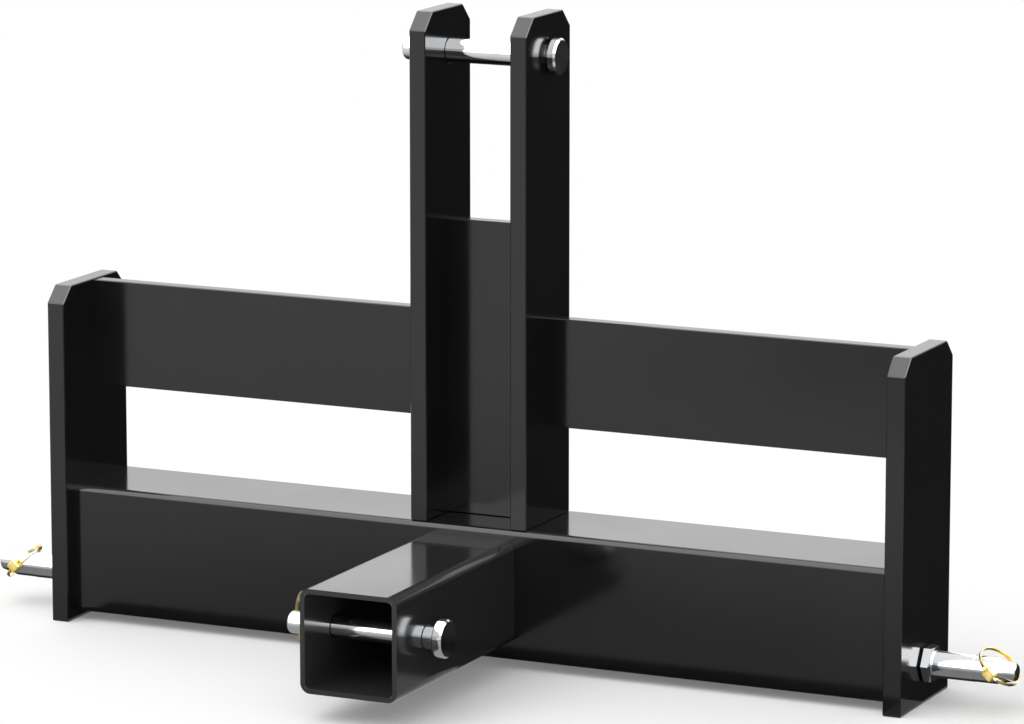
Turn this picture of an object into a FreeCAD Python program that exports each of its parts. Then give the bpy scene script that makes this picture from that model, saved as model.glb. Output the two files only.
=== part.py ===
import FreeCAD, Part
import math
import os

# Three-point receiver hitch, millimetres.
# X runs across the tractor, -Y points out of the receiver mouth, +Z is up.
# Z = 0 is the underside of the side plates, the origin is the middle of the footprint.

# Overall layout
half_width = 333.5             # centre plane to the outer face of a side plate
edge_break = 0.6               # small chamfer on every flat bar edge
run_gap = 0.1                  # radial clearance of a pin in its hole

# Side plates
side_thick = 13.4
side_depth = 92.2
side_height = 249.5
side_corner = 11.7             # cut-off at both top corners

# Main beam, a rolled channel open to the rear
beam_setback = 10.4            # its front face behind the side plates' front edge
beam_depth = 76.7
beam_z0 = 6.5
beam_height = 94.4
beam_web = 6.4
beam_flange = 7.0
beam_outer_r = 4.0
beam_inner_r = 6.0
beam_toe_r = 1.0               # rounding of the flanges' free edges

# Mast
mast_gap = 65.5                # clear width between the mast plates
mast_thick = 12.5
mast_setback = 11.8
mast_depth = 73.7
mast_height = 363.4            # above the beam
mast_corner = 12.3
centre_setback = 48.3
centre_thick = 10.7
centre_height = 213.1          # above the beam

# Cross bars
bar_setback = 46.4
bar_thick = 10.6
bar_drop = 1.0                 # top edge below the side plates' top
bar_height = 78.1

# Receiver tube
tube_reach = 177.4             # mouth in front of the side plates' front edge
tube_outer = 73.6
tube_inner = 66.6
tube_rise = 12.5               # its underside above the beam's underside
tube_outer_r = 7.3
tube_inner_r = 3.8

# Holes for the receiver pin and the top pin
hole_rim = 0.9                 # countersink at each face
pin_end_r = 3.0                # round at the pins' plain ends

# Receiver pin
rpin_r = 8.0
rpin_inset = 46.3              # axis behind the tube's mouth
rpin_head_r = 13.5
rpin_head_t = 7.1
rpin_head_gap = 9.5            # head stands off the tube by its end float
rpin_tail = 31.1               # tip beyond the tube's wall
rpin_lynch = 16.0              # lynch pin's hole beyond the tube's wall

# Top pin
tpin_r = 8.75
tpin_setback = 52.0            # axis behind the side plates' front edge
tpin_drop = 30.3               # axis below the top of the mast
tpin_head_r = 13.0
tpin_head_t = 6.5
tpin_head_gap = 2.3
tpin_tail = 22.25              # tip beyond the mast plate
tpin_lynch = 11.75             # lynch pin's hole beyond the mast plate

# Lower link pins
lpin_r = 9.5
lpin_setback = 46.3            # axis behind the side plates' front edge
lpin_z = 28.9
collar_t = 8.0                 # 683 mm from shoulder to shoulder
collar_flats = 23.6
lpin_length = 59.5             # shoulder to tip
lpin_seat = 30.0               # full diameter from the shoulder, for the lift arm's ball
lpin_relief = 0.2              # turned down past the seat, so a burr at the cross hole can't catch
lpin_lynch = 43.6              # shoulder to the lynch pin's hole
lpin_taper = 14.0
lpin_tip_r = 5.65
stud_r = 8.0
washer_t = 3.5
washer_r = 13.2
washer_slit = 2.0
nut_t = 13.0
nut_flats = 24.0
stud_beyond_nut = 3.0

# Lynch pins
lynch_shank_r = 3.2
lynch_head = 8.0               # square across the head
lynch_head_t = 4.8
lynch_seat = 0.5               # foot of the head above the link pin
lynch_hinge_rise = 2.2         # ring's hinge axis above the foot of the head
lynch_point = 7.5              # shank's end beyond the link pin
lynch_chamfer = 1.2
ring_reach = 3.1               # middle of the ring's strip beyond the shank's end
ring_spread = 5.4              # half the distance between the ring's two ends
ring_wide = 2.0
ring_thick = 1.0
stub_r = 0.95
stub_length = 2.9
hinge_gap = 0.1

# Places that follow from the sizes above
plate_front_y = (tube_reach - side_depth) / 2.0
inner_x = half_width - side_thick
beam_front_y = plate_front_y + beam_setback
beam_z1 = beam_z0 + beam_height
mast_front_y = plate_front_y + mast_setback
mast_outer_x = mast_gap / 2.0 + mast_thick
mast_top_z = beam_z1 + mast_height
centre_front_y = plate_front_y + centre_setback
bar_front_y = plate_front_y + bar_setback
bar_z1 = side_height - bar_drop
tube_front_y = plate_front_y - tube_reach
tube_z = beam_z0 + tube_rise + tube_outer / 2.0
rpin_y = tube_front_y + rpin_inset
tpin_y = plate_front_y + tpin_setback
tpin_z = mast_top_z - tpin_drop
lpin_y = plate_front_y + lpin_setback
shoulder_x = half_width + collar_t
lpin_tip_x = shoulder_x + lpin_length
lynch_head_base = lpin_r + lynch_seat
lynch_head_top = lynch_head_base + lynch_head_t
lynch_hinge = lynch_head_base + lynch_hinge_rise
lynch_tip = lpin_r + lynch_point
ring_r = (lynch_hinge + lynch_tip + ring_reach) / 2.0
V = FreeCAD.Vector
X, Y, Z = V(1, 0, 0), V(0, 1, 0), V(0, 0, 1)
os.makedirs("parts", exist_ok=True)


def save(name, shape):
    shape.exportStep("parts/%s.step" % name)


def along_x(radius, x0, x1, y, z):
    return Part.makeCylinder(radius, x1 - x0, V(x0, y, z), X)


def bored(plate, radius, x0, x1, y, z):
    """Plate between x0 and x1 with a running fit's hole through it, both rims broken."""
    r = radius + run_gap
    return plate.cut(turned([(x0, r + hole_rim), (x0 + hole_rim, r), (x1 - hole_rim, r), (x1, r + hole_rim)], y, z))


def turned(profile, y, z):
    """Solid of revolution about the X line at (y, z) from (x, radius) pairs."""
    points = [V(profile[0][0], y, z)] + [V(x, y, z + r) for x, r in profile] + [V(profile[-1][0], y, z)]
    face = Part.Face(Part.makePolygon(points + [points[0]]))
    return face.revolve(V(0, y, z), X, 360)


def rounded(width, height, radius, x, z):
    """Outline in the XZ plane, centred on (x, z), with round corners."""
    w, h = width / 2.0 - radius, height / 2.0 - radius
    corners = [(w, h, 0), (-w, h, 90), (-w, -h, 180), (w, -h, 270)]

    def at(corner, angle):
        cx, cz, start = corners[corner % 4]
        a = math.radians(start + angle)
        return V(x + cx + radius * math.cos(a), 0, z + cz + radius * math.sin(a))

    edges = []
    for i in range(4):
        edges.append(Part.Arc(at(i, 0), at(i, 45), at(i, 90)).toShape())
        edges.append(Part.makeLine(at(i, 90), at(i + 1, 0)))
    return Part.Wire(edges)


def bar_on_edge(x0, x1, y0, depth, z0, z1, corner):
    """Flat bar standing on edge, both top corners cut off, all edges broken."""
    y1 = y0 + depth
    points = [(y0, z0), (y1, z0), (y1, z1 - corner), (y1 - corner, z1), (y0 + corner, z1), (y0, z1 - corner)]
    wire = Part.makePolygon([V(x0, y, z) for y, z in points + points[:1]])
    body = Part.Face(wire).extrude(V(x1 - x0, 0, 0))
    return body.makeChamfer(edge_break, body.Edges)


def flat_plate(x0, x1, y0, y1, z0, z1, edges_along):
    """Plate whose edges along the named axis are broken, its ends left square for the welds."""
    body = Part.makeBox(x1 - x0, y1 - y0, z1 - z0, V(x0, y0, z0))
    picked = [e for e in body.Edges if abs(e.tangentAt(e.FirstParameter).dot(edges_along)) > 0.9]
    return body.makeChamfer(edge_break, picked)


def hexagon(flats, x0, x1, y, z, crowned):
    """Hexagonal prism along X, flats level, its corners turned off at the listed ends."""
    corner = flats / math.sqrt(3)
    points = [V(x0, y + corner * math.cos(math.radians(60 * k)), z + corner * math.sin(math.radians(60 * k)))
              for k in range(7)]
    body = Part.Face(Part.makePolygon(points)).extrude(V(x1 - x0, 0, 0))
    face_r = flats / 2.0 * 0.97
    drop = (corner + 1 - face_r) * math.tan(math.radians(30))
    for end in crowned:
        sign = 1 if end == x1 else -1
        cone = Part.makeCone(corner + 1, face_r, drop, V(end - sign * drop, y, z), X * sign)
        rest = Part.makeCylinder(corner + 1, x1 - x0, V(end - sign * drop, y, z), X * -sign)
        body = body.common(cone.fuse(rest))
    return body


# Lynch pin frames: b runs from the link pin's axis to the head, h is the ring's hinge axis
def lynch_axes(b_deg, roll_deg, side):
    b = V(0, math.cos(math.radians(b_deg)), math.sin(math.radians(b_deg)))
    outward = X * side
    across = b.cross(outward)
    roll = math.radians(roll_deg)
    h = across * math.cos(roll) + outward * math.sin(roll)
    return b, h, h.cross(b)


def placed(shape, origin, ex, ey, ez):
    shape.Placement = FreeCAD.Placement(FreeCAD.Matrix(ex.x, ey.x, ez.x, origin.x,
                                                       ex.y, ey.y, ez.y, origin.y,
                                                       ex.z, ey.z, ez.z, origin.z,
                                                       0, 0, 0, 1))
    return shape


def lynch_pin(seat, axes):
    """Square head and round shank in one piece, built along local Z and then placed."""
    b, h, n = axes
    half = lynch_head / 2.0
    head = Part.makeBox(lynch_head, lynch_head, lynch_head_top - lynch_head_base,
                        V(-half, -half, lynch_head_base))
    head = head.makeChamfer(0.9, [e for e in head.Edges if e.CenterOfMass.z > lynch_head_base + 0.1])
    shank_z0 = lynch_chamfer - lynch_tip
    shank = Part.makeCylinder(lynch_shank_r, lynch_head_base - shank_z0, V(0, 0, shank_z0))
    tip = Part.makeCone(lynch_shank_r - lynch_chamfer, lynch_shank_r, lynch_chamfer, V(0, 0, -lynch_tip))
    body = head.fuse([shank, tip])
    body = body.cut(Part.makeCylinder(stub_r + hinge_gap, lynch_head + 2, V(-half - 1, 0, lynch_hinge), X))
    return placed(body.removeSplitter(), seat, h, b.cross(h), b)


def lynch_ring(seat, axes, swing_deg):
    """Spring ring of flat strip, its two round ends standing in the head's hinge hole."""
    b, h, n = axes
    start = math.degrees(math.asin(ring_spread / ring_r))
    x0, x1 = -ring_r - ring_thick / 2.0, -ring_r + ring_thick / 2.0
    half = ring_wide / 2.0
    section = Part.Face(Part.makePolygon([V(x0, 0, -half), V(x1, 0, -half), V(x1, 0, half),
                                          V(x0, 0, half), V(x0, 0, -half)]))
    section.rotate(V(0, 0, 0), Z, start)
    ring = section.revolve(V(0, 0, 0), Z, 360 - 2 * start)
    for side in (1, -1):
        ring = ring.fuse(Part.makeCylinder(stub_r, stub_length, V(-ring_r, side * (ring_spread + 0.7 - stub_length), 0),
                                          Y * side))
    swing = math.radians(swing_deg)
    d = b * -math.cos(swing) + n * math.sin(swing)
    centre = seat + b * lynch_hinge + d * ring_r
    return placed(ring.removeSplitter(), centre, d, h, d.cross(h))


# Cross holes for the lynch pins
def cross_hole(link_pin, hole, b):
    reach = 40.0
    return link_pin.cut(Part.makeCylinder(lynch_shank_r + run_gap, 2 * reach, hole - b * reach, b))


# Where each lynch pin crosses its link pin, how it is turned, how far its ring is open, the link pin's radius
lynches = {
    "lower_right": (V(shoulder_x + lpin_lynch, lpin_y, lpin_z), lynch_axes(180, -49.5, 1), 9.0, lpin_r),
    "lower_left": (V(-shoulder_x - lpin_lynch, lpin_y, lpin_z), lynch_axes(180, 44, -1), 3.0, lpin_r),
    "receiver": (V(-tube_outer / 2.0 - rpin_lynch, rpin_y, tube_z), lynch_axes(230, 39, -1), 23.0, rpin_r),
    "top": (V(-mast_outer_x - tpin_lynch, tpin_y, tpin_z), lynch_axes(290, 0, -1), 178.0, tpin_r),
}
for name, (hole, axes, swing, radius) in lynches.items():
    seat = hole - axes[0] * (lpin_r - radius)
    save("lynch_pin_" + name, lynch_pin(seat, axes))
    save("lynch_ring_" + name, lynch_ring(seat, axes, swing))

# Side plates with the lower link pins' holes
for side, name in ((-1, "left"), (1, "right")):
    x0, x1 = sorted((side * inner_x, side * half_width))
    plate = bar_on_edge(x0, x1, plate_front_y, side_depth, 0, side_height, side_corner)
    save("side_plate_" + name, plate.cut(along_x(stud_r + run_gap, x0 - 1, x1 + 1, lpin_y, lpin_z)))

# Main beam
y0, y1 = beam_front_y, beam_front_y + beam_depth
outline = [(y0, beam_z0), (y1, beam_z0), (y1, beam_z0 + beam_flange), (y0 + beam_web, beam_z0 + beam_flange),
           (y0 + beam_web, beam_z1 - beam_flange), (y1, beam_z1 - beam_flange), (y1, beam_z1), (y0, beam_z1)]
beam = Part.Face(Part.makePolygon([V(-inner_x, y, z) for y, z in outline + outline[:1]]))
beam = beam.extrude(V(2 * inner_x, 0, 0))


def long_edges(shape, y, z):
    return [e for e in shape.Edges if abs(e.tangentAt(e.FirstParameter).x) > 0.9
            and abs(e.CenterOfMass.y - y) < 0.01 and abs(e.CenterOfMass.z - z) < 0.01]


beam = beam.makeFillet(beam_outer_r, long_edges(beam, y0, beam_z0) + long_edges(beam, y0, beam_z1))
beam = beam.makeFillet(beam_inner_r, long_edges(beam, y0 + beam_web, beam_z0 + beam_flange)
                       + long_edges(beam, y0 + beam_web, beam_z1 - beam_flange))
ends = [e for z in (beam_z0, beam_z0 + beam_flange, beam_z1 - beam_flange, beam_z1) for e in long_edges(beam, y1, z)]
save("main_beam", beam.makeFillet(beam_toe_r, ends))

# Mast plates with the top pin's holes
for side, name in ((-1, "left"), (1, "right")):
    x0, x1 = sorted((side * mast_gap / 2.0, side * (mast_gap / 2.0 + mast_thick)))
    plate = bar_on_edge(x0, x1, mast_front_y, mast_depth, beam_z1, mast_top_z, mast_corner)
    save("mast_plate_" + name, bored(plate, tpin_r, x0, x1, tpin_y, tpin_z))

save("mast_centre_plate", flat_plate(-mast_gap / 2.0, mast_gap / 2.0, centre_front_y,
                                     centre_front_y + centre_thick, beam_z1, beam_z1 + centre_height, X))

# Cross bars
for side, name in ((-1, "left"), (1, "right")):
    x0, x1 = sorted((side * mast_outer_x, side * inner_x))
    save("cross_bar_" + name, flat_plate(x0, x1, bar_front_y, bar_front_y + bar_thick,
                                        bar_z1 - bar_height, bar_z1, X))

# Receiver tube, butted on the front of the main beam
outer = Part.Face(rounded(tube_outer, tube_outer, tube_outer_r, 0, tube_z))
inner = Part.Face(rounded(tube_inner, tube_inner, tube_inner_r, 0, tube_z))
tube = outer.cut(inner).extrude(V(0, beam_front_y - tube_front_y, 0))
tube.translate(V(0, tube_front_y, 0))
for side in (-1, 1):
    x0, x1 = sorted((side * tube_inner / 2.0, side * tube_outer / 2.0))
    tube = bored(tube, rpin_r, x0, x1, rpin_y, tube_z)
save("receiver_tube", tube)


# Headed link pins
def headed_pin(radius, tip_x, head_x, head_r, head_t, y, z, lynch):
    body = turned([(tip_x, radius), (head_x, radius), (head_x, head_r - 0.9), (head_x + 0.9, head_r),
                   (head_x + head_t - 1.3, head_r), (head_x + head_t, head_r - 1.3)], y, z)
    body = body.makeFillet(pin_end_r, [e for e in body.Edges if abs(e.CenterOfMass.x - tip_x) < 0.01
                                       and e.BoundBox.YLength > radius])
    hole, axes = lynches[lynch][:2]
    return cross_hole(body, hole, axes[0])


save("receiver_pin", headed_pin(rpin_r, -tube_outer / 2.0 - rpin_tail, tube_outer / 2.0 + rpin_head_gap,
                                rpin_head_r, rpin_head_t, rpin_y, tube_z, "receiver"))
save("top_pin", headed_pin(tpin_r, -mast_outer_x - tpin_tail, mast_outer_x + tpin_head_gap, tpin_head_r, tpin_head_t,
                           tpin_y, tpin_z, "top"))

# Lower link pins with their lock washers and nuts, built for the right and mirrored for the left
nut_x1 = inner_x - washer_t
nut_x0 = nut_x1 - nut_t
stud_x0 = nut_x0 - stud_beyond_nut
seat_x1 = shoulder_x + lpin_seat
shaft = turned([(stud_x0, stud_r - 1.5), (stud_x0 + 1.5, stud_r), (half_width, stud_r), (half_width, lpin_r),
                (seat_x1, lpin_r), (seat_x1 + lpin_relief, lpin_r - lpin_relief),
                (lpin_tip_x - lpin_taper, lpin_r - lpin_relief), (lpin_tip_x - 0.8, lpin_tip_r + 0.4),
                (lpin_tip_x, lpin_tip_r - 0.4)], lpin_y, lpin_z)
collar = hexagon(collar_flats, half_width, shoulder_x, lpin_y, lpin_z, [shoulder_x])
link_pin = shaft.fuse(collar).removeSplitter()
washer = along_x(washer_r, nut_x1, inner_x, lpin_y, lpin_z).cut(
    along_x(stud_r + run_gap, nut_x1, inner_x, lpin_y, lpin_z))
slit = Part.makeBox(washer_t + 2, washer_slit, washer_r + 1, V(nut_x1 - 1, lpin_y - washer_slit / 2.0, lpin_z))
slit.rotate(V(nut_x1, lpin_y, lpin_z + (stud_r + washer_r) / 2.0), Z, 20)
washer = washer.cut(slit)
nut = hexagon(nut_flats, nut_x0, nut_x1, lpin_y, lpin_z, [nut_x0, nut_x1])
nut = nut.cut(along_x(stud_r + run_gap, nut_x0, nut_x1, lpin_y, lpin_z))
for side, name in ((-1, "left"), (1, "right")):
    hole, axes = lynches["lower_" + name][:2]
    pieces = [link_pin, washer, nut]
    if side < 0:
        pieces = [piece.mirror(V(0, 0, 0), X) for piece in pieces]
    save("lower_pin_" + name, cross_hole(pieces[0], hole, axes[0]))
    save("lower_pin_lock_washer_" + name, pieces[1])
    save("lower_pin_nut_" + name, pieces[2])
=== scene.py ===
import math

import bmesh
import bpy
from mathutils import Matrix

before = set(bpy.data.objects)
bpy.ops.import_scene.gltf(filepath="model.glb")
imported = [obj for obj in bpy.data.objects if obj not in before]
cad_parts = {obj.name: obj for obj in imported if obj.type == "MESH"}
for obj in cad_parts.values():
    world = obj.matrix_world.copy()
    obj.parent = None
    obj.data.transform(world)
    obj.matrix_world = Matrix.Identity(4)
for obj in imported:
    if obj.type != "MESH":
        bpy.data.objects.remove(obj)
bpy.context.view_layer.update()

bl_info = {
    "name": "Three-point receiver hitch",
    "version": (1, 0, 0),
    "blender": (4, 5, 0),
    "location": "View3D > Sidebar > Hitch",
    "description": "Dresses the hitch frame, its link pins and lynch pins, and sets up the studio",
    "category": "Object",
}

# Nodes that share a finish
COATED_NODES = ("main_beam", "side_plate_left", "side_plate_right", "mast_plate_left", "mast_plate_right",
                "mast_centre_plate", "cross_bar_left", "cross_bar_right")
TURNED_NODES = ("lower_pin_left", "lower_pin_right", "receiver_pin", "top_pin")
FASTENER_NODES = ("lower_pin_nut_left", "lower_pin_nut_right",
                  "lower_pin_lock_washer_left", "lower_pin_lock_washer_right")
LYNCH_PLACES = ("lower_right", "lower_left", "receiver", "top")

MM = 0.001

# Outer faces of the side plates, where the collars of the lower pins begin, in metres
PLATE_FACE = 0.3335

# Height of the receiver tube's axis, and from there the reach of the socket and its corners in metres
TUBE_AXIS, TUBE_INSIDE = 0.0558, 0.0334

# The mirrored floor's grey against the distance from the hitch in metres; the grey close to the hitch is painted shadow
GLOW_STEPS = ((0.15, 0.42), (0.34, 0.70), (0.6, 0.86), (1.0, 1.0))


def linear(code):
    """Linear RGBA of an sRGB hex colour."""
    channels = [int(code[i:i + 2], 16) / 255.0 for i in (1, 3, 5)]
    return [c / 12.92 if c <= 0.04045 else ((c + 0.055) / 1.055) ** 2.4 for c in channels] + [1.0]


def add(tree, kind, inputs=None, **settings):
    """A shader node with its settings. An input is given a value, or the socket it is linked from."""
    node = tree.nodes.new(kind)
    for name, value in settings.items():
        setattr(node, name, value)
    for name, value in (inputs or {}).items():
        if isinstance(value, bpy.types.NodeSocket):
            tree.links.new(value, node.inputs[name])
        else:
            node.inputs[name].default_value = value
    return node


def per_metre(size_mm):
    """Noise scale that gives features of that size, on coordinates in metres."""
    return 1.0 / (size_mm * MM)


def new_material(name):
    material = bpy.data.materials.new(name)
    material.use_nodes = True
    material.node_tree.nodes.clear()
    return material, material.node_tree


def finish_with(material, nodes):
    for name in nodes:
        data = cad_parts[name].data
        data.materials.clear()
        data.materials.append(material)


# Gloss black powder coat, sprayed and baked on steel plate. It flows out to a shallow orange peel,
# so the black reflects like lacquer but soft at its edges, and mirrors go slightly wavy.
def powder_coat(name, settings, deep, high):
    material, tree = new_material(name)
    place = add(tree, "ShaderNodeTexCoord").outputs["Object"]
    peel = add(tree, "ShaderNodeTexNoise", {"Vector": place, "Scale": per_metre(settings.peel_mm),
                                            "Detail": 2.0, "Roughness": 0.45})
    flow = add(tree, "ShaderNodeTexNoise", {"Vector": place, "Scale": per_metre(90.0), "Detail": 3.0})
    gloss = add(tree, "ShaderNodeMapRange", {"Value": flow.outputs["Fac"], "From Min": 0.3, "From Max": 0.7,
                                             "To Min": settings.coat_roughness - 0.02,
                                             "To Max": settings.coat_roughness + 0.03})
    tone = add(tree, "ShaderNodeMix", {"Factor": flow.outputs["Fac"], "A": linear(deep), "B": linear(high)},
               data_type="RGBA")
    bump = add(tree, "ShaderNodeBump", {"Height": peel.outputs["Fac"], "Strength": 0.35,
                                        "Distance": 0.01 * MM})
    # Inside the tube the coat is painted a lighter grey: painted light, standing in for the light that falls in at the
    # mouth
    across = add(tree, "ShaderNodeVectorMath", {0: place, 1: (0.0, 0.0, -TUBE_AXIS)}, operation="ADD")
    across = add(tree, "ShaderNodeVectorMath", {0: across.outputs["Vector"]}, operation="ABSOLUTE")
    across = add(tree, "ShaderNodeSeparateXYZ", {"Vector": across.outputs["Vector"]})
    wider = add(tree, "ShaderNodeMath", {0: across.outputs["X"], 1: across.outputs["Z"]}, operation="MAXIMUM")
    inside = add(tree, "ShaderNodeMath", {0: wider.outputs[0], 1: TUBE_INSIDE}, operation="LESS_THAN").outputs[0]
    tone = add(tree, "ShaderNodeMix", {"Factor": inside, "A": tone.outputs["Result"],
                                       "B": linear(settings.tube_inside_painted_light)}, data_type="RGBA")
    shader = add(tree, "ShaderNodeBsdfPrincipled", {
        "Base Color": tone.outputs["Result"], "Metallic": 0.0, "Roughness": gloss.outputs["Result"],
        "IOR": 1.5, "Normal": bump.outputs["Normal"]})
    add(tree, "ShaderNodeOutputMaterial", {"Surface": shader.outputs["BSDF"]})
    return material


# Bright zinc plated steel, turned on a lathe. Fine rings run round the pin and
# draw its highlight out along its length.
def turned_zinc(settings):
    material, tree = new_material("zinc_plated_turned_steel")
    place = add(tree, "ShaderNodeTexCoord").outputs["Object"]
    # A tool mark is about 0.2 mm wide, drawn here at 0.9 mm so that it shows
    rings = add(tree, "ShaderNodeTexWave", {"Vector": place, "Scale": 2.0 * math.pi / 20.0 / (0.9 * MM),
                                            "Distortion": 0.0, "Detail": 0.0},
                wave_type="BANDS", bands_direction="X")
    cloud = add(tree, "ShaderNodeTexNoise", {"Vector": place, "Scale": per_metre(14.0), "Detail": 3.0})
    gloss = add(tree, "ShaderNodeMapRange", {"Value": cloud.outputs["Fac"], "From Min": 0.3, "From Max": 0.7,
                                             "To Min": settings.zinc_roughness - 0.03,
                                             "To Max": settings.zinc_roughness + 0.05})
    tone = add(tree, "ShaderNodeMix", {"Factor": cloud.outputs["Fac"], "A": linear(settings.zinc_dark),
                                       "B": linear(settings.zinc_light)}, data_type="RGBA")
    # The collar's first millimetre and a half next to the plate is painted in the coat's black: painted shadow in the
    # gap between collar and plate
    across = add(tree, "ShaderNodeSeparateXYZ", {"Vector": place})
    across = add(tree, "ShaderNodeMath", {0: across.outputs["X"]}, operation="ABSOLUTE")
    gap_shadow = add(tree, "ShaderNodeMath", {0: across.outputs[0], 1: PLATE_FACE + 0.75 * MM, 2: 0.75 * MM},
                operation="COMPARE")
    tone = add(tree, "ShaderNodeMix", {"Factor": gap_shadow.outputs[0], "A": tone.outputs["Result"],
                                       "B": linear(settings.coat_dark)}, data_type="RGBA")
    bump = add(tree, "ShaderNodeBump", {"Height": rings.outputs["Fac"], "Strength": 0.25,
                                        "Distance": 0.004 * MM})
    shader = add(tree, "ShaderNodeBsdfPrincipled", {
        "Base Color": tone.outputs["Result"], "Metallic": 1.0, "Roughness": gloss.outputs["Result"],
        "Normal": bump.outputs["Normal"]})
    add(tree, "ShaderNodeOutputMaterial", {"Surface": shader.outputs["BSDF"]})
    return material


# Bright zinc plated nut and washer, cold formed. The plating is even, with a faint grain.
def formed_zinc(settings):
    material, tree = new_material("zinc_plated_formed_steel")
    place = add(tree, "ShaderNodeTexCoord").outputs["Object"]
    grain = add(tree, "ShaderNodeTexNoise", {"Vector": place, "Scale": per_metre(1.2), "Detail": 2.0})
    tone = add(tree, "ShaderNodeMix", {"Factor": grain.outputs["Fac"], "A": linear(settings.zinc_dark),
                                       "B": linear(settings.zinc_light)}, data_type="RGBA")
    bump = add(tree, "ShaderNodeBump", {"Height": grain.outputs["Fac"], "Strength": 0.3,
                                        "Distance": 0.02 * MM})
    shader = add(tree, "ShaderNodeBsdfPrincipled", {
        "Base Color": tone.outputs["Result"], "Metallic": 1.0, "Roughness": 0.28,
        "Normal": bump.outputs["Normal"]})
    add(tree, "ShaderNodeOutputMaterial", {"Surface": shader.outputs["BSDF"]})
    return material


# Yellow chromate over zinc. The film's thickness varies, so the gold drifts to straw and to a greener
# yellow. On the forged head it lies thick and satin, on the drawn wire of the ring thin and bright.
def yellow_chromate(name, deep, middle, pale, metallic, roughness):
    material, tree = new_material(name)
    place = add(tree, "ShaderNodeTexCoord").outputs["Object"]
    film = add(tree, "ShaderNodeTexNoise", {"Vector": place, "Scale": per_metre(7.0), "Detail": 2.0})
    tone = add(tree, "ShaderNodeValToRGB", {"Fac": film.outputs["Fac"]})
    ramp = tone.color_ramp
    ramp.elements[0].position, ramp.elements[0].color = 0.35, linear(deep)
    ramp.elements[1].position, ramp.elements[1].color = 0.65, linear(pale)
    ramp.elements.new(0.5).color = linear(middle)
    grain = add(tree, "ShaderNodeTexNoise", {"Vector": place, "Scale": per_metre(0.8), "Detail": 2.0})
    bump = add(tree, "ShaderNodeBump", {"Height": grain.outputs["Fac"], "Strength": 0.2,
                                        "Distance": 0.02 * MM})
    shader = add(tree, "ShaderNodeBsdfPrincipled", {
        "Base Color": tone.outputs["Color"], "Metallic": metallic, "Roughness": roughness,
        "Normal": bump.outputs["Normal"]})
    add(tree, "ShaderNodeOutputMaterial", {"Surface": shader.outputs["BSDF"]})
    return material


def colour_property(name, description, code):
    return bpy.props.StringProperty(name=name, description=description, default=code)


class HitchFinishes(bpy.types.PropertyGroup):
    """Finishes of the steel."""
    coat_dark: colour_property("Coat, deep", "Darkest tone of the powder coat, sRGB hex", "#0d0e0d")
    coat_light: colour_property("Coat, high", "Lightest tone of the powder coat, sRGB hex", "#121312")
    # The tube's lighter tones are painted light: the tube is given a lighter coat than the frame to stand in for more
    # light falling on it
    tube_painted_light_deep: colour_property("Tube, deep", "Darkest tone of the tube's coat, lightened as painted light, sRGB hex", "#1f201f")
    tube_painted_light_high: colour_property("Tube, high", "Lightest tone of the tube's coat, lightened as painted light, sRGB hex", "#252625")
    # The grey inside the tube is painted light, standing in for the light that falls in at the mouth
    tube_inside_painted_light: colour_property("Coat, inside", "Painted light inside the tube, sRGB hex", "#373737")
    coat_roughness: bpy.props.FloatProperty(name="Coat roughness", description="Gloss of the powder coat",
                                            default=0.13, min=0.02, max=1.0)
    peel_mm: bpy.props.FloatProperty(name="Orange peel", description="Size of the coat's waves in millimetres",
                                     default=2.4, min=0.5, max=10.0)
    zinc_dark: colour_property("Zinc, deep", "Darkest tone of the bright zinc, sRGB hex", "#c4c6c9")
    zinc_light: colour_property("Zinc, high", "Lightest tone of the bright zinc, sRGB hex", "#dcdee0")
    zinc_roughness: bpy.props.FloatProperty(name="Zinc roughness", description="Gloss of the turned pins",
                                            default=0.1, min=0.02, max=1.0)
    head_deep: colour_property("Head, deep", "Thick chromate of the lynch heads, sRGB hex", "#dcb658")
    head_mid: colour_property("Head, middle", "Usual chromate of the lynch heads, sRGB hex", "#f0d27a")
    head_pale: colour_property("Head, pale", "Thin chromate of the lynch heads, sRGB hex", "#f8e6a2")
    ring_deep: colour_property("Ring, deep", "Thick chromate of the lynch rings, sRGB hex", "#d6b548")
    ring_mid: colour_property("Ring, middle", "Usual chromate of the lynch rings, sRGB hex", "#ecd684")
    ring_pale: colour_property("Ring, pale", "Thin chromate of the lynch rings, sRGB hex", "#f5ecc0")


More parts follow.
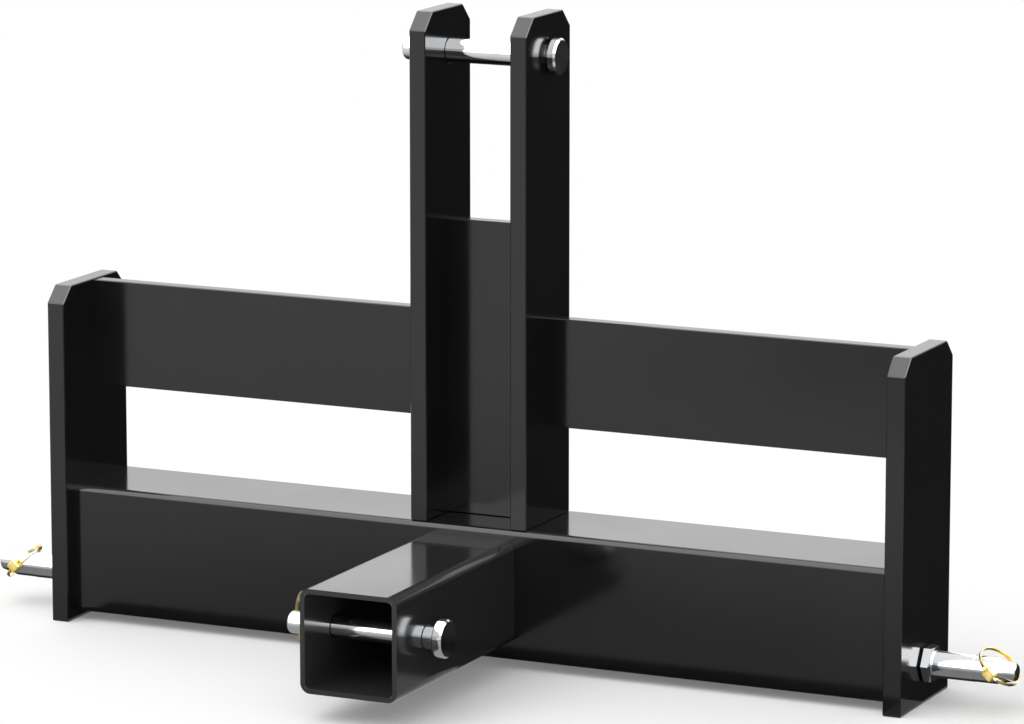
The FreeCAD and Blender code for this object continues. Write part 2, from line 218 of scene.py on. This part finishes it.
class HitchStage(bpy.types.PropertyGroup):
    """The studio round the hitch."""
    azimuth: bpy.props.FloatProperty(name="Camera azimuth", description="Camera to the right of the mouth",
                                     default=math.radians(25.085), subtype="ANGLE")
    elevation: bpy.props.FloatProperty(name="Camera elevation", description="Camera above the horizon",
                                       default=math.radians(10.973), subtype="ANGLE")
    camera: bpy.props.FloatVectorProperty(name="Camera", description="Place of the camera",
                                          default=(1.6124, -3.3166, 0.9436), subtype="TRANSLATION")
    lens: bpy.props.FloatProperty(name="Lens", description="Focal length on a 36 mm sensor", default=189.93,
                                  subtype="DISTANCE_CAMERA")
    floor_colour: colour_property("Floor", "Colour of the studio floor, sRGB hex", "#f4f4f4")
    floor_cover: bpy.props.FloatProperty(name="Floor cover", description="How much the sheet hides the white below it",
                                         default=0.84, min=0.0, max=1.0)
    floor_near: bpy.props.FloatProperty(name="Floor, near", description="Floor begins to fade out here",
                                        default=0.75, unit="LENGTH")
    floor_far: bpy.props.FloatProperty(name="Floor, far", description="Floor has faded out here",
                                       default=1.6, unit="LENGTH")
    sky: bpy.props.FloatProperty(name="Fill", description="Soft light from all round", default=0.72, min=0.0)
    key: bpy.props.FloatProperty(name="Key light", description="Soft light from the front left", default=1.2, min=0.0)
    back: bpy.props.FloatProperty(name="Back light", description="Soft light from the back left", default=0.6, min=0.0)
    card_level: bpy.props.FloatProperty(name="Dark card", description="Mirrored card to the back right",
                                        default=0.028, min=0.0)
    panel_level: bpy.props.FloatProperty(name="Bright panel", description="Mirrored panel to the back left",
                                         default=1.68, min=0.0)
    tent_level: bpy.props.FloatProperty(name="Tent", description="Mirrored roof and front of the tent",
                                        default=4.0, min=0.0)


class HITCH_OT_powder_coat(bpy.types.Operator):
    """Gives the welded frame its gloss black powder coat"""
    bl_idname = "hitch.powder_coat"
    bl_label = "Powder coat the frame"

    def execute(self, context):
        finishes = context.scene.hitch_finishes
        finish_with(powder_coat("powder_coat_baked_gloss_black", finishes, finishes.coat_dark,
                                finishes.coat_light), COATED_NODES)
        # The tube's lighter coat is painted light, standing in for more light falling on the tube than on the frame
        finish_with(powder_coat("powder_coat_gloss_black_painted_lighter", finishes, finishes.tube_painted_light_deep,
                                finishes.tube_painted_light_high), ("receiver_tube",))
        return {"FINISHED"}


class HITCH_OT_link_pins(bpy.types.Operator):
    """Plates the lower link pins, the top pin and the receiver pin"""
    bl_idname = "hitch.link_pins"
    bl_label = "Plate the link pins"

    def execute(self, context):
        finish_with(turned_zinc(context.scene.hitch_finishes), TURNED_NODES)
        finish_with(formed_zinc(context.scene.hitch_finishes), FASTENER_NODES)
        return {"FINISHED"}


class HITCH_OT_lynch_pins(bpy.types.Operator):
    """Gives the lynch pins and their rings the yellow chromate"""
    bl_idname = "hitch.lynch_pins"
    bl_label = "Plate the lynch pins"

    def execute(self, context):
        finishes = context.scene.hitch_finishes
        heads = yellow_chromate("yellow_chromated_forged_steel", finishes.head_deep, finishes.head_mid,
                                finishes.head_pale, 0.7, 0.36)
        rings = yellow_chromate("yellow_chromated_spring_wire", finishes.ring_deep, finishes.ring_mid,
                                finishes.ring_pale, 1.0, 0.28)
        finish_with(heads, ["lynch_pin_" + place for place in LYNCH_PLACES])
        finish_with(rings, ["lynch_ring_" + place for place in LYNCH_PLACES])
        return {"FINISHED"}


def flat_sheet(name, size, material, matrix):
    """Square sheet of the studio."""
    mesh = bpy.data.meshes.new(name)
    bm = bmesh.new()
    bmesh.ops.create_grid(bm, x_segments=1, y_segments=1, size=size / 2.0, matrix=matrix)
    bm.to_mesh(mesh)
    bm.free()
    sheet = bpy.data.objects.new(name, mesh)
    sheet.data.materials.append(material)
    bpy.context.scene.collection.objects.link(sheet)
    return sheet


def soft_sun(name, azimuth, elevation, spread, strength):
    """Even light from a round patch of the studio's ceiling. Angles are in degrees, azimuth as the camera's."""
    data = bpy.data.lights.new(name, "SUN")
    data.angle, data.energy = math.radians(spread), strength
    lamp = bpy.data.objects.new(name, data)
    lamp.visible_glossy = False
    lamp.rotation_euler = (math.radians(90 - elevation), 0.0, math.radians(azimuth))
    bpy.context.scene.collection.objects.link(lamp)
    return lamp


def flat_light(name, level):
    material, tree = new_material(name)
    light = add(tree, "ShaderNodeEmission", {"Strength": level})
    add(tree, "ShaderNodeOutputMaterial", {"Surface": light.outputs["Emission"]})
    return material


def mirrored_only(sheet):
    """Keeps a sheet out of the picture and of the light, so that it only shows in reflections."""
    sheet.visible_camera = sheet.visible_diffuse = sheet.visible_shadow = False


def floor_card(name, material, across, along):
    """Card close over the floor for reflections, over a span in x and one in y."""
    middle = Matrix.Translation((sum(across) / 2.0, sum(along) / 2.0, 0.002))
    mirrored_only(flat_sheet(name, 1.0, material,
                             middle @ Matrix.Diagonal((across[1] - across[0], along[1] - along[0], 1.0, 1.0))))


class HITCH_OT_stage(bpy.types.Operator):
    """Builds the floor, the soft light and the camera"""
    bl_idname = "hitch.stage"
    bl_label = "Set up the studio"

    def execute(self, context):
        scene, settings = context.scene, context.scene.hitch_stage

        paper, tree = new_material("studio_paper_matt")
        place = add(tree, "ShaderNodeTexCoord").outputs["Object"]
        reach = add(tree, "ShaderNodeVectorMath", {0: place}, operation="LENGTH").outputs["Value"]
        solid = add(tree, "ShaderNodeMapRange", {"Value": reach, "From Min": settings.floor_near,
                                                 "From Max": settings.floor_far, "To Min": settings.floor_cover, "To Max": 0.0},
                    interpolation_type="SMOOTHSTEP").outputs["Result"]
        shader = add(tree, "ShaderNodeBsdfPrincipled", {"Base Color": linear(settings.floor_colour), "Alpha": solid,
                                                        "Roughness": 1.0, "Specular IOR Level": 0.0})
        add(tree, "ShaderNodeOutputMaterial", {"Surface": shader.outputs["BSDF"]})
        floor = flat_sheet("studio_floor", 2.0 * settings.floor_far, paper, Matrix.Identity(4))
        floor.visible_glossy = False

        # What the gloss mirrors in place of the floor: grey close to the hitch, white further off. The grey close to
        # the hitch is painted shadow of the hitch on the floor
        glow, tree = new_material("studio_floor_glow")
        place = add(tree, "ShaderNodeTexCoord").outputs["Object"]
        place = add(tree, "ShaderNodeVectorMath", {0: place, 1: (1.0 / 1.6, 1.0, 1.0)}, operation="MULTIPLY")
        reach = add(tree, "ShaderNodeVectorMath", {0: place.outputs["Vector"]}, operation="LENGTH")
        level = add(tree, "ShaderNodeValToRGB", {"Fac": reach.outputs["Value"]})
        stops = level.color_ramp.elements
        stops[0].position, stops[1].position = GLOW_STEPS[0][0], GLOW_STEPS[-1][0]
        for position, grey in GLOW_STEPS[1:-1]:
            stops.new(position)
        for stop, (position, grey) in zip(stops, GLOW_STEPS):
            stop.color = (grey, grey, grey, 1.0)
        # The darker patch in front of the hitch is painted shade in the mirrored floor
        patch = add(tree, "ShaderNodeVectorMath", {0: add(tree, "ShaderNodeTexCoord").outputs["Object"],
                                                   1: (-0.1, -1.12, 0.0)}, operation="DISTANCE")
        patch = add(tree, "ShaderNodeMapRange", {"Value": patch.outputs["Value"], "From Min": 0.05, "From Max": 0.42,
                                                 "To Min": 0.5, "To Max": 1.0}, interpolation_type="SMOOTHSTEP")
        level = add(tree, "ShaderNodeMath", {0: level.outputs["Color"], 1: patch.outputs["Result"]},
                    operation="MULTIPLY")
        light = add(tree, "ShaderNodeEmission", {"Strength": level.outputs[0]})
        add(tree, "ShaderNodeOutputMaterial", {"Surface": light.outputs["Emission"]})
        mirrored_only(flat_sheet("studio_floor_glow", 24.0, glow, Matrix.Identity(4)))

        # Dark cards on the floor, which the faces towards +X and the beam's rounded foot mirror: behind
        # the hitch, under its beam, under its lower link pins and in front of it to the right. The cards under the beam
        # and under the pins are painted shade, standing for the hitch's shadow on the floor as the gloss mirrors it
        board = flat_light("studio_card_dark", settings.card_level)
        grey = flat_light("studio_card_grey", 0.27)
        floor_card("studio_card_behind", board, (-0.7, 3.4), (0.085, 5.0))
        floor_card("studio_card_under_beam", board, (-0.32, 0.32), (0.0, 0.085))
        floor_card("studio_card_under_pin_right", grey, (0.3, 0.46), (0.0, 0.085))
        floor_card("studio_card_under_pin_left", grey, (-0.5, -0.36), (0.0, 0.085))
        floor_card("studio_card_front", grey, (0.2, 5.2), (-6.0, -0.3))
        upright = Matrix.Translation((1.6, 5.0, 0.8)) @ Matrix.Rotation(math.radians(90), 4, "X")
        mirrored_only(flat_sheet("studio_card_upright", 1.0, flat_light("studio_card_mid", 0.13),
                                 upright @ Matrix.Diagonal((3.6, 1.6, 1.0, 1.0))))

        # The tent's back wall to the left, which the level tops mirror. It is dimmer low down
        turn = Matrix.Rotation(settings.azimuth, 4, "Z")
        for name, part, low, high in (("low", 0.62, 0.0, 1.73), ("high", 1.0, 1.73, 6.0)):
            wall = flat_light("studio_wall_" + name, part * settings.panel_level)
            stand = turn @ Matrix.Translation((0.0, 8.0, (low + high) / 2.0)) @ Matrix.Rotation(math.radians(90), 4, "X")
            mirrored_only(flat_sheet("studio_wall_" + name, 1.0, wall,
                                     stand @ Matrix.Diagonal((12.0, high - low, 1.0, 1.0))))

        # The tent's bright roof and front, which the round pins mirror. The roof is brighter to the right
        cloth = flat_light("studio_tent", settings.tent_level)
        bright_cloth = flat_light("studio_tent_bright", 1.75 * settings.tent_level)
        for name, side, sheet in (("left", -1, cloth), ("right", 1, bright_cloth)):
            mirrored_only(flat_sheet("studio_tent_roof_" + name, 1.0, sheet, Matrix.Translation((side * 3.0, -2.0, 2.4))
                                     @ Matrix.Diagonal((6.0, 8.0, 1.0, 1.0))))
        mirrored_only(flat_sheet("studio_tent_front", 1.0, cloth, Matrix.Translation((0.0, -6.0, 1.35))
                                 @ Matrix.Rotation(math.radians(90), 4, "X") @ Matrix.Diagonal((12.0, 2.1, 1.0, 1.0))))

        world = bpy.data.worlds.new("studio_air")
        world.use_nodes = True
        tree = world.node_tree
        tree.nodes.clear()
        path = add(tree, "ShaderNodeLightPath")
        seen = add(tree, "ShaderNodeMath", {0: path.outputs["Is Camera Ray"], 1: path.outputs["Is Glossy Ray"]},
                   operation="MAXIMUM")
        seen = add(tree, "ShaderNodeMath", {0: seen.outputs[0], 1: path.outputs["Is Transmission Ray"]},
                   operation="MAXIMUM")
        strength = add(tree, "ShaderNodeMapRange", {"Value": seen.outputs[0], "To Min": settings.sky, "To Max": 1.0})
        air = add(tree, "ShaderNodeBackground", {"Color": (1.0, 1.0, 1.0, 1.0), "Strength": strength.outputs[0]})
        add(tree, "ShaderNodeOutputWorld", {"Surface": air.outputs[0]})
        scene.world = world

        soft_sun("key_light", -40.0, 52.0, 60.0, settings.key)
        soft_sun("back_light", -115.0, 62.0, 50.0, settings.back)

        data = bpy.data.cameras.new("photo_camera")
        data.sensor_width, data.lens = 36.0, settings.lens
        data.clip_start, data.clip_end = 0.1, 100.0
        camera = bpy.data.objects.new("photo_camera", data)
        camera.location = settings.camera
        camera.rotation_euler = (math.radians(90) - settings.elevation, 0.0, settings.azimuth)
        scene.collection.objects.link(camera)
        scene.camera = camera
        scene.view_settings.view_transform = "Standard"
        return {"FINISHED"}


class HITCH_PT_panel(bpy.types.Panel):
    """Lists the steps that dress the hitch"""
    bl_idname = "HITCH_PT_panel"
    bl_label = "Receiver hitch"
    bl_space_type = "VIEW_3D"
    bl_region_type = "UI"
    bl_category = "Hitch"

    def draw(self, context):
        for operator in OPERATORS:
            self.layout.operator(operator.bl_idname)
        for group in (context.scene.hitch_finishes, context.scene.hitch_stage):
            box = self.layout.box()
            for name in group.bl_rna.properties.keys():
                if name not in ("rna_type", "name"):
                    box.prop(group, name)


OPERATORS = (HITCH_OT_powder_coat, HITCH_OT_link_pins, HITCH_OT_lynch_pins, HITCH_OT_stage)
CLASSES = (HitchFinishes, HitchStage) + OPERATORS + (HITCH_PT_panel,)


def register():
    for cls in CLASSES:
        bpy.utils.register_class(cls)
    bpy.types.Scene.hitch_finishes = bpy.props.PointerProperty(type=HitchFinishes)
    bpy.types.Scene.hitch_stage = bpy.props.PointerProperty(type=HitchStage)


def unregister():
    del bpy.types.Scene.hitch_stage
    del bpy.types.Scene.hitch_finishes
    for cls in reversed(CLASSES):
        bpy.utils.unregister_class(cls)


def main():
    register()
    bpy.ops.hitch.powder_coat()
    bpy.ops.hitch.link_pins()
    bpy.ops.hitch.lynch_pins()
    bpy.ops.hitch.stage()


if __name__ == "__main__":
    main()
